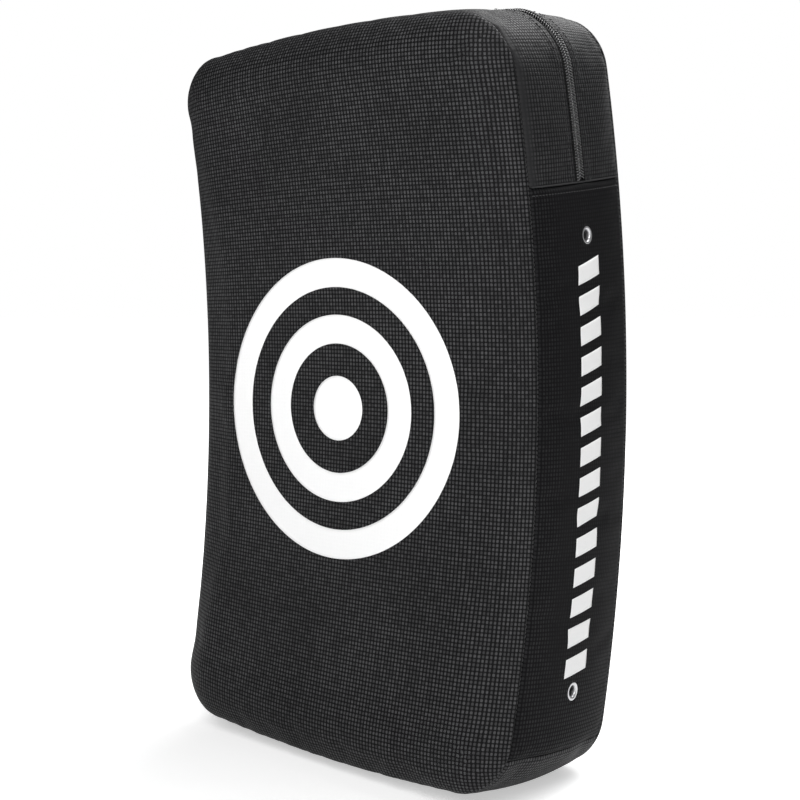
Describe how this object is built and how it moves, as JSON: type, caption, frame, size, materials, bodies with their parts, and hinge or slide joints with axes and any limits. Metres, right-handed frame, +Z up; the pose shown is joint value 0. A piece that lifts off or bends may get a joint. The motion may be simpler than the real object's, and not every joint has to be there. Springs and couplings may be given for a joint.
{
  "type": "kick shield",
  "caption": "Curved rectangular kick shield with a concave striking face, foam core, zipped cover, side air eyelets, and arm straps and grips on its back.",
  "frame": {"origin": "on the floor under the middle of the standing shield's box, straps included", "axes": "+Z up along the shield's height, +Y out of its back towards the holder, -Y out of the concave striking face, +X to the right as seen from the front"},
  "size_m": [0.3882, 0.271, 0.6371],
  "materials": {
    "cover": "satin",
    "strike_foam": "matte",
    "core_foam": "matte",
    "back_foam": "matte",
    "zip_tape": "matte",
    "zip_coil": "satin",
    "zip_metal": "satin",
    "nickel": "polished",
    "webbing": "matte"
  },
  "bodies": {
    "pad": {"front_panel": "cover", "back_panel": "cover", "zip_strip_front": "cover", "zip_strip_rear": "cover", "side_panel_left": "cover", "side_panel_right": "cover", "bottom_panel": "cover", "strike_foam": "strike_foam", "core_foam": "core_foam", "back_foam": "back_foam", "zip_tape_front": "zip_tape", "zip_tape_rear": "zip_tape", "zip_coil_front": "zip_coil", "zip_coil_rear": "zip_coil", "eyelet_upper_left": "nickel", "eyelet_upper_right": "nickel", "eyelet_lower_left": "nickel", "eyelet_lower_right": "nickel", "eyelet_washer_upper_left": "nickel", "eyelet_washer_upper_right": "nickel", "eyelet_washer_lower_left": "nickel", "eyelet_washer_lower_right": "nickel", "anchor_band_upper": "webbing", "anchor_band_middle": "webbing", "anchor_band_lower": "webbing", "arm_strap_left": "webbing", "arm_strap_right": "webbing", "arm_strap_pad_left": "cover", "arm_strap_pad_right": "cover", "grip_tape_upper": "webbing", "grip_tape_lower": "webbing", "grip_sleeve_upper": "cover", "grip_sleeve_lower": "cover"},
    "slider": {"zip_slider": "zip_metal"},
    "pull_tab": {"zip_pull_tab": "zip_metal"}
  },
  "joints": [
    {"name": "zip_run", "type": "hinge", "parent": "pad", "child": "slider", "pos_m": [0.07893, -1.32398, 0.31689], "axis": [0.9793, 0.2023, 0.0003], "range_deg": [0, 2.89]},
    {"name": "pull_swing", "type": "hinge", "parent": "slider", "child": "pull_tab", "pos_m": [-0.19141, -0.03126, 0.50379], "axis": [0.0204, 0.9903, 0.1371], "range_deg": [-3, 170]}
  ]
}
